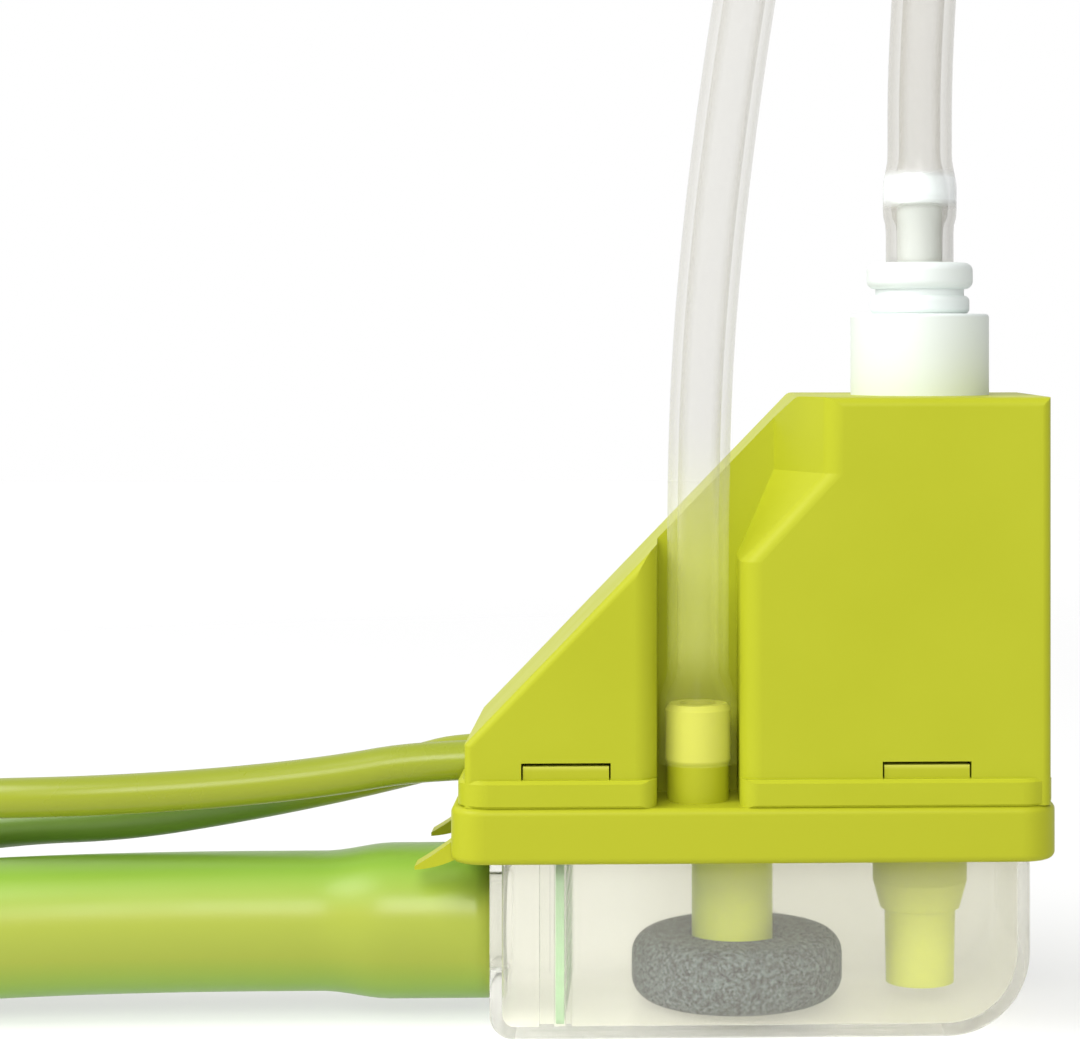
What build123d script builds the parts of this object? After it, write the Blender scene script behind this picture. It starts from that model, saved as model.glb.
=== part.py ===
from build123d import *
import math
import os

# Condensate pump: a clear reservoir under a lid, a moulded cover and a solenoid piston pump.
# Millimetres. X runs along the pump to the right, Y to the back, Z up.
# The origin lies on the reservoir's resting face.

# Reservoir
reservoir_left = -37.6
reservoir_right = 39.5
reservoir_side_gap = 0.4
reservoir_height = 30.5
reservoir_wall = 1.8
reservoir_left_corner = 3.5
reservoir_right_corner = 12.0
reservoir_edge = 2.6
rim_gap = 0.3
rim_height = 2.0
inlet_z = 13.6
inlet_length = 14.0
inlet_radius = 9.0
inlet_bore = 7.2

# Inlet filter plate and the ribs that guide it
filter_x = -28.2
filter_thickness = 1.2
filter_top = 25.0
filter_hole_radius = 0.8
filter_pitch = 3.2
guide_gap = 0.2
guide_left = 2.1
guide_right = 0.9
guide_reach = 2.2

# Lid
lid_width = 86.0
lid_depth = 42.0
lid_bottom = 25.6
lid_height = 7.9
lid_plate = 2.0
lid_side_wall = 2.2
lid_end_wall = 3.0
lid_corner = 5.0
lid_edge = 1.0
gasket_width = 2.6
lid_top = lid_bottom + lid_height
lid_ceiling = lid_top - lid_plate

# Release tab on the lid's left end
tab_width = 30.0
tab_thickness = 1.5
tab_pivot_z = 30.2
tab_foot_z = 26.0
tab_horn_width = 4.5
tab_reach = 5.3
tab_tip_z = 24.0
tab_gap = 0.35
tab_pin_radius = 0.5
tab_pin_length = 0.8

# Cover
cover_left = -40.9
cover_right = 42.1
cover_side_step = 0.9
cover_top = 91.3
cover_wall = 2.0
slope_foot = 42.4
slope_run = 47.22218
slope_edge = 1.1
top_edge = 1.3
skirt_left = -42.0
skirt_right = 42.5
skirt_side_step = 0.3
skirt_height = 3.9
skirt_corner = 4.5
skirt_step = 0.5
skirt_groove = 0.35

# Channel in the cover for the vent tube, and the slanted recess above it
channel_left = -13.8
channel_right = -2.2
channel_stem_gap = 0.1
channel_left_edge = 3.0
channel_right_edge = 3.0
skirt_channel_edge = 2.5
recess_rise = 12.5
recess_top_depth = 10.8
recess_deep_x = 3.2
recess_face_x = 10.6
recess_edge = 3.2

# Latch windows in the cover and the lid's latch tabs
window_width = 12.6
window_height = 2.4
window_left_x = -26.6
window_right_x = 24.4
latch_gap = 0.25
latch_thickness = 1.5

# Sensor stem, float and clip
stem_x = -2.75
stem_radius = 6.0
stem_wall = 1.0
stem_bottom = 3.0
stem_neck = 3.9
stem_neck_wall = 0.6
stem_neck_height = 2.5
float_x = -2.05
float_side_gap = 1.0
float_bore = 7.05
float_bottom = 2.2
float_height = 9.6
float_edge = 3.2
float_ledge = 4.4
float_counterbore = 9.4
magnet_inner = 8.4
magnet_outer = 10.4
magnet_height = 3.0
clip_radius = 8.2
clip_thickness = 0.9

# Pump
pump_x = 25.2
intake_top_radius = 7.0
intake_waist_radius = 5.9
intake_radius = 5.25
intake_tip_radius = 5.05
intake_shoulder_z = 15.2
intake_bottom = 4.1
intake_bore = 3.8
neck_radius = 4.2
neck_bore = 2.4
neck_top = 36.6
coupler_radius = 8.0
coupler_height = 10.2
mount_radius = 9.5
tube_radius = 4.6
tube_bore = 4.1
tube_bottom = 38.2
tube_top_depth = 1.3
fit_gap = 0.05
piston_shortfall = 3.0
piston_bottom = 53.0
piston_bore = 1.6
piston_stroke = 2.5
spring_radius = 3.3
spring_wire = 0.5
coil_bottom = 51.0
upper_mount_height = 7.9
bobbin_radius = 12.0
bobbin_wall = 1.2
bobbin_bore = 5.8
winding_radius = 11.3
yoke_half = 13.5
yoke_plate = 1.4
valve_stem = 0.8
valve_hole = 1.6
valve_head = 2.7
valve_lift = 0.8

# Outlet on the cover's top
collar_radius = 10.3
collar_height = 12.0
collar_bore = 6.3
outlet_body = 6.1
ring_radius = 7.4
ring_height = 2.7
groove_radius = 6.6
groove_height = 1.0
flange_radius = 7.9
flange_height = 3.9
barb_stem = 3.35
barb_bulb = 4.2
barb_height = 13.3
barb_bore = 2.2

# Vent spigot and the two clear tubes
vent_x = -7.95
vent_back_gap = 7.0
vent_base_radius = 4.45
vent_barb_radius = 4.7
vent_shoulder = 5.3
vent_height = 13.8
vent_bore = 2.6
vent_tube_radius = 4.45
vent_tube_bore = 3.0
vent_flare_radius = 5.6
discharge_radius = 4.8
discharge_bore = 3.1
discharge_flare_radius = 5.05
discharge_bulge_radius = 5.5

# Drain hose
hose_radius = 10.15
hose_bore = 8.0
cuff_radius = 11.3
cuff_length = 15.3
cuff_taper = 10.0

# Electrical cables
cable_radius = 2.95
cable_z = 38.0
cable_spacing = 7.0
inner_turn_radius = 26.5
turns_across = 3
turn_layers = 2
grommet_margin = 0.55
core_radius = 0.95
core_length = 16.0
ferrule_radius = 0.7
ferrule_length = 6.0

# Control board
board_left = -28.0
board_right = 7.0
board_bottom = 36.0
board_top = 52.0
board_rear_gap = 7.3
board_thickness = 1.6

# What follows from the sizes above
reservoir_depth = lid_depth - 2 * (lid_side_wall + reservoir_side_gap)
float_radius = reservoir_depth / 2 - reservoir_wall - float_side_gap
skirt_depth = lid_depth - 2 * skirt_side_step
cover_depth = skirt_depth - 2 * cover_side_step
cover_inner_y = cover_depth / 2 - cover_wall
slope_angle = math.degrees(math.atan2(cover_top - slope_foot, slope_run))
channel_back = -(stem_neck + channel_stem_gap + cover_wall)
vent_y = channel_back - vent_back_gap
recess_full = cover_top - recess_top_depth
recess_start = recess_full - recess_rise
tube_top = cover_top - tube_top_depth
winding_height = cover_top - cover_wall - upper_mount_height - yoke_plate - coil_bottom
piston_length = winding_height - piston_shortfall
board_y = cover_inner_y - board_rear_gap


def block(x, y, z, mode=Mode.ADD):
    """A straight block between its low and high side along X, Y and Z."""
    sides = (x, y, z)
    centre = tuple((low + high) / 2 for low, high in sides)
    size = tuple(high - low for low, high in sides)
    with Locations(centre):
        Box(*size, mode=mode)


def turned(points, x=0.0, y=0.0, mode=Mode.ADD):
    """A turned piece about the upright axis at x, y from its (radius, height) outline."""
    with BuildSketch(Plane(origin=(x, y, 0), x_dir=(1, 0, 0), z_dir=(0, -1, 0))) as outline:
        with BuildLine():
            Polyline(*points, close=True)
        make_face()
    revolve(outline.sketch, axis=Axis((x, y, 0), (0, 0, 1)), mode=mode)


def ring(inner, outer, bottom, top, x=0.0, y=0.0, mode=Mode.ADD):
    """A plain ring about the upright axis at x, y."""
    turned([(inner, bottom), (outer, bottom), (outer, top), (inner, top)], x, y, mode)


def upright(radius, bottom, top, x=0.0, y=0.0, mode=Mode.ADD):
    """A plain round bar about the upright axis at x, y."""
    with BuildSketch(Plane.XY.offset(bottom)) as outline:
        with Locations((x, y)):
            Circle(radius)
    extrude(outline.sketch, amount=top - bottom, mode=mode)


def plate(width, depth, corner, bottom, top, x=0.0, y=0.0, mode=Mode.ADD):
    """A level plate with rounded corners."""
    with BuildSketch(Plane.XY.offset(bottom)) as outline:
        with Locations((x, y)):
            RectangleRounded(width, depth, corner)
    extrude(outline.sketch, amount=top - bottom, mode=mode)


# Reservoir: a rounded tray with an outward rim, an inlet spigot and four guide ribs
def reservoir_form(inset, top):
    """The tray's block, every side moved in by inset, up to the height top."""
    left = reservoir_left + inset
    right = reservoir_right - inset
    with BuildPart() as form:
        with BuildSketch(Plane.XZ) as side:
            with BuildLine():
                Polyline((left, inset), (right, inset), (right, top), (left, top), close=True)
            make_face()
            low = side.vertices().group_by(Axis.Y)[0].sort_by(Axis.X)
            fillet(low[0], radius=reservoir_left_corner - inset)
            low = side.vertices().group_by(Axis.Y)[0].sort_by(Axis.X)
            fillet(low[-1], radius=reservoir_right_corner - inset)
        extrude(amount=reservoir_depth / 2 - inset, both=True)
        rims = form.faces().filter_by(Axis.Y).edges().filter_by(lambda edge: edge.center().Z < top - 0.01)
        fillet(rims, radius=reservoir_edge - inset)
    return form.part


reservoir_inner_y = reservoir_depth / 2 - reservoir_wall
rim_length = lid_width - 2 * (lid_end_wall + rim_gap)
inlet_end = reservoir_left - inlet_length
guide_left_x = filter_x - guide_gap
guide_right_x = filter_x + filter_thickness + guide_gap

with BuildPart() as reservoir:
    add(reservoir_form(0, reservoir_height))
    plate(rim_length, reservoir_depth, reservoir_edge, reservoir_height - rim_height, reservoir_height)
    with BuildSketch(Plane.YZ.offset(inlet_end)):
        with Locations((0, inlet_z)):
            Circle(inlet_radius)
    extrude(amount=inlet_length + reservoir_wall / 2)
    add(reservoir_form(reservoir_wall, reservoir_height + 1), mode=Mode.SUBTRACT)
    with BuildSketch(Plane.YZ.offset(inlet_end)):
        with Locations((0, inlet_z)):
            Circle(inlet_bore)
    extrude(amount=inlet_length + 2 * reservoir_wall, mode=Mode.SUBTRACT)
    for side in (-1, 1):
        wall_y = side * (reservoir_inner_y + reservoir_wall / 4)
        rib_y = side * (reservoir_inner_y - guide_reach)
        reach = (min(wall_y, rib_y), max(wall_y, rib_y))
        block((guide_left_x - guide_left, guide_left_x), reach, (reservoir_wall / 2, filter_top))
        block((guide_right_x, guide_right_x + guide_right), reach, (reservoir_wall / 2, filter_top))

# Filter plate: a perforated plate that slides down between the ribs
filter_width = 2 * (reservoir_inner_y - guide_gap)
filter_bottom = reservoir_wall + guide_gap
filter_columns = int((filter_width - 4 * filter_pitch / 2) // filter_pitch)
filter_rows = int((filter_top - filter_bottom - filter_pitch) // filter_pitch)
with BuildPart() as inlet_filter:
    with BuildSketch(Plane.YZ.offset(filter_x)) as web:
        with Locations((0, (filter_bottom + filter_top) / 2)):
            Rectangle(filter_width, filter_top - filter_bottom)
        fillet(web.vertices().group_by(Axis.Y)[0], radius=reservoir_edge - reservoir_wall + guide_gap)
        with Locations((0, (filter_bottom + filter_top) / 2)):
            with GridLocations(filter_pitch, filter_pitch, filter_columns, filter_rows):
                Circle(filter_hole_radius, mode=Mode.SUBTRACT)
    extrude(amount=filter_thickness)
    block((filter_x - guide_left, filter_x), (-5, 5), (filter_top - 1.2, filter_top))

# Lid: a band with a top plate, the vent spigot, four latch tabs, board posts and a pocket for the release tab
grommet_height = 2 * (cable_radius + fit_gap + grommet_margin)
grommet_width = cable_spacing + grommet_height
window_bottom = lid_top + skirt_height
window_top = window_bottom + window_height
tab_pivot_x = -lid_width / 2 + tab_thickness / 2 + 0.1
tab_pocket_half = tab_width / 2 + tab_gap
vent_top = lid_top + vent_height
board_post = 3.0
clamp_span = (cover_left + 5, cover_left + 10)
clamp_half = 11.5
clamp_screw_radius = 1.2
clamp_screw_y = (cable_spacing / 2 + cable_radius + clamp_half) / 2
clamp_screw_x = sum(clamp_span) / 2


def cable_bores(start, end):
    """Cuts the two cables' round bores along X between start and end."""
    with BuildSketch(Plane.YZ.offset(start)) as bores:
        with Locations((-cable_spacing / 2, cable_z), (cable_spacing / 2, cable_z)):
            Circle(cable_radius + fit_gap)
    extrude(bores.sketch, amount=end - start, mode=Mode.SUBTRACT)


def clamp_holes(bottom, radius):
    """Cuts the cable clamp's two screw holes upwards from a height."""
    with BuildSketch(Plane.XY.offset(bottom)) as holes:
        with Locations((clamp_screw_x, -clamp_screw_y), (clamp_screw_x, clamp_screw_y)):
            Circle(radius)
    extrude(holes.sketch, amount=cable_z + 2 * cable_radius - bottom, mode=Mode.SUBTRACT)


with BuildPart() as lid:
    plate(lid_width, lid_depth, lid_corner, lid_bottom, lid_top)
    fillet(lid.faces().group_by(Axis.Z)[-1].edges(), radius=lid_edge)
    fillet(lid.faces().group_by(Axis.Z)[0].edges(), radius=lid_edge)
    plate(
        lid_width - 2 * lid_end_wall,
        lid_depth - 2 * lid_side_wall,
        lid_corner - lid_side_wall,
        lid_bottom - 1,
        lid_ceiling,
        mode=Mode.SUBTRACT,
    )
    turned(
        [
            (0, lid_ceiling),
            (vent_base_radius, lid_ceiling),
            (vent_base_radius, lid_top + vent_shoulder),
            (vent_barb_radius, lid_top + vent_shoulder + 0.6),
            (vent_barb_radius, vent_top - 0.8),
            (vent_barb_radius - 0.6, vent_top),
            (0, vent_top),
        ],
        vent_x,
        vent_y,
    )
    for side in (-1, 1):
        wall_y = side * (cover_inner_y - latch_gap)
        root_y = wall_y - side * latch_thickness
        nose_y = side * (cover_depth / 2 - latch_gap)
        for window_x in (window_left_x, window_right_x):
            half = window_width / 2 - latch_gap
            span = (window_x - half, window_x + half)
            block(span, (min(wall_y, root_y), max(wall_y, root_y)), (lid_ceiling + 0.5, window_top - 2 * latch_gap))
            block(span, (min(nose_y, root_y), max(nose_y, root_y)), (window_bottom, window_top - 2 * latch_gap))
    for post_x in (board_left + board_post / 2, board_right - board_post / 2):
        block(
            (post_x - board_post / 2, post_x + board_post / 2),
            (board_y - 2 * board_thickness, board_y + 2 * board_thickness),
            (lid_ceiling + 0.5, board_bottom + board_post),
        )
    block(
        (board_left - 1, board_right + 1),
        (board_y - board_thickness / 2 - fit_gap, board_y + board_thickness / 2 + fit_gap),
        (board_bottom, board_top),
        mode=Mode.SUBTRACT,
    )
    block(clamp_span, (-clamp_half, clamp_half), (lid_ceiling + 0.5, cable_z - fit_gap))
    cable_bores(clamp_span[0] - 1, clamp_span[1] + 1)
    clamp_holes(lid_top, clamp_screw_radius - 0.1)
    upright(vent_bore, lid_ceiling - 1, vent_top + 1, vent_x, vent_y, mode=Mode.SUBTRACT)
    upright(stem_neck + fit_gap, lid_ceiling - 1, lid_top + 1, stem_x, mode=Mode.SUBTRACT)
    upright(neck_radius + fit_gap, lid_ceiling - 1, lid_top + 1, pump_x, mode=Mode.SUBTRACT)
    block(
        (-lid_width / 2 - 1, tab_pivot_x + tab_thickness / 2 + tab_gap),
        (-tab_pocket_half, tab_pocket_half),
        (lid_bottom - 1, tab_pivot_z + tab_thickness / 2 + tab_gap),
        mode=Mode.SUBTRACT,
    )
    with Locations(Location((tab_pivot_x, 0, tab_pivot_z), (90, 0, 0))):
        Cylinder(tab_pin_radius + fit_gap, tab_width + 2 * tab_pin_length + 4 * fit_gap, mode=Mode.SUBTRACT)

# Release tab: a hinged bar with a horn on each side of the hose, turning on its own two pins
with BuildPart() as release_tab:
    with BuildSketch(Plane.XZ) as bar:
        with Locations((tab_pivot_x, tab_pivot_z)):
            Circle(tab_thickness / 2)
        with Locations((tab_pivot_x, (tab_pivot_z + tab_foot_z) / 2)):
            Rectangle(tab_thickness, tab_pivot_z - tab_foot_z)
    extrude(amount=tab_width / 2, both=True)
    for side in (-1, 1):
        horn_middle = side * (tab_width - tab_horn_width) / 2
        with BuildSketch(Plane.XZ.offset(-horn_middle)):
            with BuildLine():
                top = (tab_pivot_x, tab_pivot_z - tab_thickness)
                tip_top = (-lid_width / 2 - tab_reach, tab_tip_z + 0.5)
                tip_low = (-lid_width / 2 - tab_reach, tab_tip_z)
                foot = (tab_pivot_x, tab_foot_z - 0.4)
                ThreePointArc(top, (-lid_width / 2 - 0.45 * tab_reach, tab_tip_z + 2.3), tip_top)
                Line(tip_top, tip_low)
                ThreePointArc(tip_low, (-lid_width / 2 - 0.45 * tab_reach, tab_tip_z + 0.4), foot)
                Line(foot, top)
            make_face()
        extrude(amount=tab_horn_width / 2, both=True)
    with Locations(Location((tab_pivot_x, 0, tab_pivot_z), (90, 0, 0))):
        Cylinder(tab_pin_radius, tab_width + 2 * tab_pin_length)

# Lid gasket, squeezed between the lid's ceiling and the reservoir's rim
with BuildPart() as lid_gasket:
    plate(rim_length, reservoir_depth, reservoir_edge, reservoir_height, lid_ceiling)
    plate(
        rim_length - 2 * (gasket_width + lid_edge),
        reservoir_depth - 2 * gasket_width,
        reservoir_edge,
        reservoir_height - 1,
        lid_ceiling + 1,
        mode=Mode.SUBTRACT,
    )


# Cover: the sloped shell less its core, with the channel and its slanted recess cut by sections
def slope_height(x, inset):
    """The height of the slope's face at x, moved in by inset."""
    angle = math.radians(slope_angle)
    return slope_foot + (x - cover_left) * math.tan(angle) - inset / math.cos(angle)


def slope_reach(height, inset):
    """The x at which the slope's face, moved in by inset, comes to a height."""
    angle = math.radians(slope_angle)
    return cover_left + (height - slope_foot + inset / math.cos(angle)) / math.tan(angle)


def channel_section(height, front, inset, deep_x, face_x, left_edge, right_edge):
    """The channel's plan at one height: left wall, back wall and a right wall from deep_x to face_x."""
    left = channel_left - inset
    back = channel_back + inset
    front_y = front + inset
    across = face_x - deep_x
    along = front - channel_back
    length = math.hypot(across, along)
    run = (across / length, along / length)
    shift = (-along / length * inset, across / length * inset)
    deep = (deep_x + shift[0] + (back - channel_back - shift[1]) * across / along, back)
    face = (face_x + shift[0] + (front_y - front - shift[1]) * across / along, front_y)
    turn = math.atan2(-run[1], run[0])
    tangent = right_edge * math.tan(turn / 2)
    arc_start = (face[0] - run[0] * tangent, face[1] - run[1] * tangent)
    arc_end = (face[0] + tangent, front_y)
    outside = front_y - 3
    with BuildSketch(Plane.XY.offset(height)) as section:
        with BuildLine():
            Line((left - left_edge, outside), (left - left_edge, front_y))
            TangentArc((left - left_edge, front_y), (left, front_y + left_edge), tangent=(1, 0))
            Line((left, front_y + left_edge), (left, back))
            Line((left, back), deep)
            Line(deep, arc_start)
            TangentArc(arc_start, arc_end, tangent=run)
            Line(arc_end, (arc_end[0], outside))
            Line((arc_end[0], outside), (left - left_edge, outside))
        make_face()
    return section.sketch


def channel_form(front, inset, left_edge, right_edge, wide_edge):
    """The whole channel: straight below, lofted open between the two recess heights, straight above."""
    inner_left = max(left_edge - inset, 0.4)
    inner_right = max(right_edge - inset, 0.4)
    inner_wide = max(wide_edge - inset, 0.4)
    narrow = (front, inset, channel_right, channel_right + 0.2, inner_left, inner_right)
    wide = (front, inset, recess_deep_x, recess_face_x, inner_left, inner_wide)
    with BuildPart() as form:
        add(channel_section(lid_top - 1, *narrow))
        extrude(amount=recess_start - lid_top + 1)
        loft([channel_section(recess_start, *narrow), channel_section(recess_full, *wide)])
        add(channel_section(recess_full, *wide))
        extrude(amount=cover_top - recess_full + 2)
    return form.part


def cover_form(inset, bottom):
    """The sloped block, every side moved in by inset, down to the height bottom."""
    left = cover_left + inset
    right = cover_right - inset
    top = cover_top - inset
    with BuildPart() as form:
        with BuildSketch(Plane.XZ):
            with BuildLine():
                Polyline(
                    (left, bottom),
                    (right, bottom),
                    (right, top),
                    (slope_reach(top, inset), top),
                    (left, slope_height(left, inset)),
                    close=True,
                )
            make_face()
        extrude(amount=cover_depth / 2 - inset, both=True)
    return form.part


with BuildPart() as cover:
    add(cover_form(0, lid_top))
    rims = cover.faces().filter_by(Axis.Y).edges()
    slope_rims = rims.filter_by(lambda edge: edge.center().X < slope_reach(cover_top, 0) and edge.center().Z > lid_top + 1)
    fillet(slope_rims, radius=slope_edge)
    top_rims = cover.faces().filter_by(Axis.Y).edges().filter_by(
        lambda edge: edge.center().X > slope_reach(cover_top, 0) and edge.center().Z > lid_top + 1
    )
    fillet(top_rims, radius=top_edge)
    add(channel_form(-cover_depth / 2, 0, channel_left_edge, channel_right_edge, recess_edge), mode=Mode.SUBTRACT)
    with BuildPart(mode=Mode.PRIVATE) as skirt:
        plate(skirt_right - skirt_left, skirt_depth, skirt_corner, lid_top, window_bottom, x=(skirt_left + skirt_right) / 2)
        chamfer(skirt.faces().group_by(Axis.Z)[-1].edges(), length=skirt_step)
        chamfer(skirt.faces().group_by(Axis.Z)[0].edges(), length=skirt_groove)
        add(
            channel_form(-skirt_depth / 2, 0, skirt_channel_edge, skirt_channel_edge, skirt_channel_edge),
            mode=Mode.SUBTRACT,
        )
    add(skirt.part)
    with BuildPart(mode=Mode.PRIVATE) as core:
        add(cover_form(cover_wall, lid_top - 1))
        add(
            channel_form(-cover_depth / 2, cover_wall, channel_left_edge, channel_right_edge, recess_edge),
            mode=Mode.SUBTRACT,
        )
    add(core.part, mode=Mode.SUBTRACT)
    for window_x in (window_left_x, window_right_x):
        block(
            (window_x - window_width / 2, window_x + window_width / 2),
            (-cover_depth, cover_depth),
            (window_bottom, window_top),
            mode=Mode.SUBTRACT,
        )
    upright(outlet_body + 0.3, cover_top - 2 * cover_wall, cover_top + 1, pump_x, mode=Mode.SUBTRACT)
    with BuildSketch(Plane.YZ.offset(cover_left - 2)):
        with Locations((0, cable_z)):
            SlotOverall(grommet_width, grommet_height)
    extrude(amount=2 + 2 * cover_wall, mode=Mode.SUBTRACT)

# Cable grommet: a rubber plug with two bores, lipped inside and outside the cover's left wall
with BuildPart() as cable_grommet:
    with BuildSketch(Plane.YZ.offset(cover_left)):
        with Locations((0, cable_z)):
            SlotOverall(grommet_width - 2 * fit_gap, grommet_height - 2 * fit_gap)
    extrude(amount=cover_wall)
    with BuildSketch(Plane.YZ.offset(cover_left + cover_wall)):
        with Locations((0, cable_z)):
            SlotOverall(grommet_width + 1.6, grommet_height - 2 * fit_gap)
    extrude(amount=1.2)
    cable_bores(cover_left - 1, cover_left + cover_wall + 2)

# Sensor stem: a closed tube hung in the lid by its neck, with a groove for the clip near its foot
clip_bottom = float_bottom + float_ledge - clip_thickness
stem_top = lid_top + stem_neck_height
with BuildPart() as sensor_stem:
    turned(
        [
            (0, stem_bottom),
            (stem_radius - 0.6, stem_bottom),
            (stem_radius, stem_bottom + 0.6),
            (stem_radius, clip_bottom - fit_gap),
            (stem_radius - 0.5, clip_bottom - fit_gap),
            (stem_radius - 0.5, clip_bottom + clip_thickness + fit_gap),
            (stem_radius, clip_bottom + clip_thickness + fit_gap),
            (stem_radius, lid_ceiling),
            (stem_neck, lid_ceiling),
            (stem_neck, stem_top),
            (stem_neck - stem_neck_wall, stem_top),
            (stem_neck - stem_neck_wall, lid_ceiling - stem_wall),
            (stem_radius - stem_wall, lid_ceiling - 2 * stem_wall),
            (stem_radius - stem_wall, clip_bottom + 2 * clip_thickness),
            (stem_radius - 2 * stem_wall, clip_bottom + 2 * clip_thickness),
            (stem_radius - 2 * stem_wall, stem_bottom + stem_wall),
            (0, stem_bottom + stem_wall),
        ],
        stem_x,
    )

# Float clip: a split ring in the stem's groove, which the float rests on
with BuildPart() as float_clip:
    ring(stem_radius - 0.45, clip_radius, clip_bottom, clip_bottom + clip_thickness, stem_x)
    block(
        (stem_x - clip_radius - 1, stem_x),
        (-1.5, 1.5),
        (clip_bottom - 1, clip_bottom + 2 * clip_thickness),
        mode=Mode.SUBTRACT,
    )

# Sensor board: a narrow board down the stem with three Hall sensors
sensor_width = 2 * (stem_neck - stem_neck_wall) - 1.0
sensor_foot = stem_bottom + stem_wall
with BuildPart() as sensor_board:
    block(
        (stem_x - sensor_width / 2, stem_x + sensor_width / 2),
        (-board_thickness / 4, board_thickness / 4),
        (sensor_foot, stem_top + 4),
    )
with BuildPart() as hall_sensors:
    for sensor_z in (sensor_foot + 3, sensor_foot + 8, sensor_foot + 13):
        block((stem_x - 2, stem_x + 2), (-board_thickness / 4 - 1.2, -board_thickness / 4), (sensor_z, sensor_z + 3))

# Float: a foam ring with big rounded edges, a counterbore for the clip and a pocket for its magnet
float_top = float_bottom + float_height
with BuildPart() as float_ring:
    with BuildSketch(Plane(origin=(float_x, 0, 0), x_dir=(1, 0, 0), z_dir=(0, -1, 0))) as outline:
        with BuildLine():
            Polyline(
                (float_bore, float_bottom),
                (float_radius, float_bottom),
                (float_radius, float_top),
                (float_bore, float_top),
                close=True,
            )
        make_face()
        fillet(outline.vertices().group_by(Axis.X)[-1], radius=float_edge)
        fillet(outline.vertices().group_by(Axis.X)[0].sort_by(Axis.Y)[-1], radius=float_edge / 4)
    revolve(axis=Axis((float_x, 0, 0), (0, 0, 1)))
    ring(0, float_counterbore, float_bottom - 1, float_bottom + float_ledge, float_x, mode=Mode.SUBTRACT)
    magnet_floor = float_bottom + float_ledge + 1
    ring(magnet_inner, magnet_outer, magnet_floor, magnet_floor + magnet_height, float_x, mode=Mode.SUBTRACT)

with BuildPart() as float_magnet:
    ring(magnet_inner, magnet_outer, magnet_floor, magnet_floor + magnet_height, float_x)

# Intake: a stepped tube under the lid, with a neck up through the lid for the rubber coupler
with BuildPart() as intake:
    turned(
        [
            (intake_bore, intake_bottom),
            (intake_tip_radius, intake_bottom),
            (intake_radius, intake_shoulder_z),
            (intake_waist_radius, intake_shoulder_z),
            (intake_top_radius, intake_shoulder_z + 4),
            (intake_top_radius, lid_ceiling),
            (neck_radius, lid_ceiling),
            (neck_radius, neck_top),
            (neck_bore, neck_top),
            (neck_bore, lid_ceiling - 3),
            (intake_bore, lid_ceiling - 5),
        ],
        pump_x,
    )

# Strainer: a perforated cap inside the intake's mouth
strainer_z = intake_bottom + 1.5
with BuildPart() as intake_strainer:
    upright(intake_bore, strainer_z, strainer_z + 0.8, pump_x)
    with BuildSketch(Plane.XY.offset(strainer_z)):
        with Locations((pump_x, 0)):
            with HexLocations(0.75, 3, 3):
                Circle(0.4)
    extrude(amount=0.8, mode=Mode.SUBTRACT)

# Inlet coupler: a rubber bush from the intake's neck to the pump tube
coupler_top = lid_top + coupler_height
with BuildPart() as inlet_coupler:
    turned(
        [
            (neck_radius + fit_gap, lid_top),
            (coupler_radius, lid_top),
            (coupler_radius, lid_top + 3),
            (coupler_radius - 1.4, lid_top + 3),
            (coupler_radius - 1.4, coupler_top - 3),
            (coupler_radius, coupler_top - 3),
            (coupler_radius, coupler_top),
            (tube_radius + fit_gap, coupler_top),
            (tube_radius + fit_gap, tube_bottom),
            (neck_bore, tube_bottom),
            (neck_bore, neck_top),
            (neck_radius + fit_gap, neck_top),
        ],
        pump_x,
    )

with BuildPart() as pump_tube:
    ring(tube_bore, tube_radius, tube_bottom, tube_top, pump_x)

# Inlet valve: a pressed-in seat, a poppet with a guide stem, its spring and the retainer above
inlet_seat_z = tube_bottom + 1
inlet_face = inlet_seat_z + 1.8
retainer_z = inlet_face + 5
poppet_disc = 1.2


def valve_seat(bottom, height):
    """A ring pressed into the pump tube with the valve's hole through it."""
    ring(valve_hole, tube_bore, bottom, bottom + height, pump_x)


def poppet(face, foot, head):
    """A poppet whose disc lies on the face, with a stem from foot to head."""
    turned(
        [
            (0, foot),
            (valve_stem, foot),
            (valve_stem, face),
            (valve_head, face),
            (valve_head, face + poppet_disc),
            (valve_stem, face + poppet_disc),
            (valve_stem, head),
            (0, head),
        ],
        pump_x,
    )


def coil_spring(radius, wire, bottom, top, turns):
    """A round-wire spring about the pump's axis between two faces."""
    low = bottom + wire / 2
    high = top - wire / 2
    path = Helix(pitch=(high - low) / turns, height=high - low, radius=radius, center=(pump_x, 0, low), mode=Mode.PRIVATE)
    with BuildPart(mode=Mode.PRIVATE) as spring:
        with BuildSketch(Plane(origin=path @ 0, z_dir=path % 0)) as section:
            Circle(wire / 2)
        sweep(section.sketch, path=path, is_frenet=True)
    return spring.part


with BuildPart() as inlet_seat:
    valve_seat(inlet_seat_z, inlet_face - inlet_seat_z)
with BuildPart() as inlet_valve:
    poppet(inlet_face, inlet_seat_z + 0.3, retainer_z - valve_lift - 0.4)
with BuildPart() as inlet_valve_spring:
    add(coil_spring(valve_hole, 0.3, inlet_face + poppet_disc, retainer_z, 4))
with BuildPart() as inlet_retainer:
    ring(valve_stem + 0.2, tube_bore, retainer_z, retainer_z + 1.2, pump_x)
    with BuildSketch(Plane.XY.offset(retainer_z)):
        with Locations((pump_x, 0)):
            with PolarLocations((tube_bore + valve_hole) / 2, 4):
                Circle(0.6)
    extrude(amount=1.2, mode=Mode.SUBTRACT)

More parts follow.
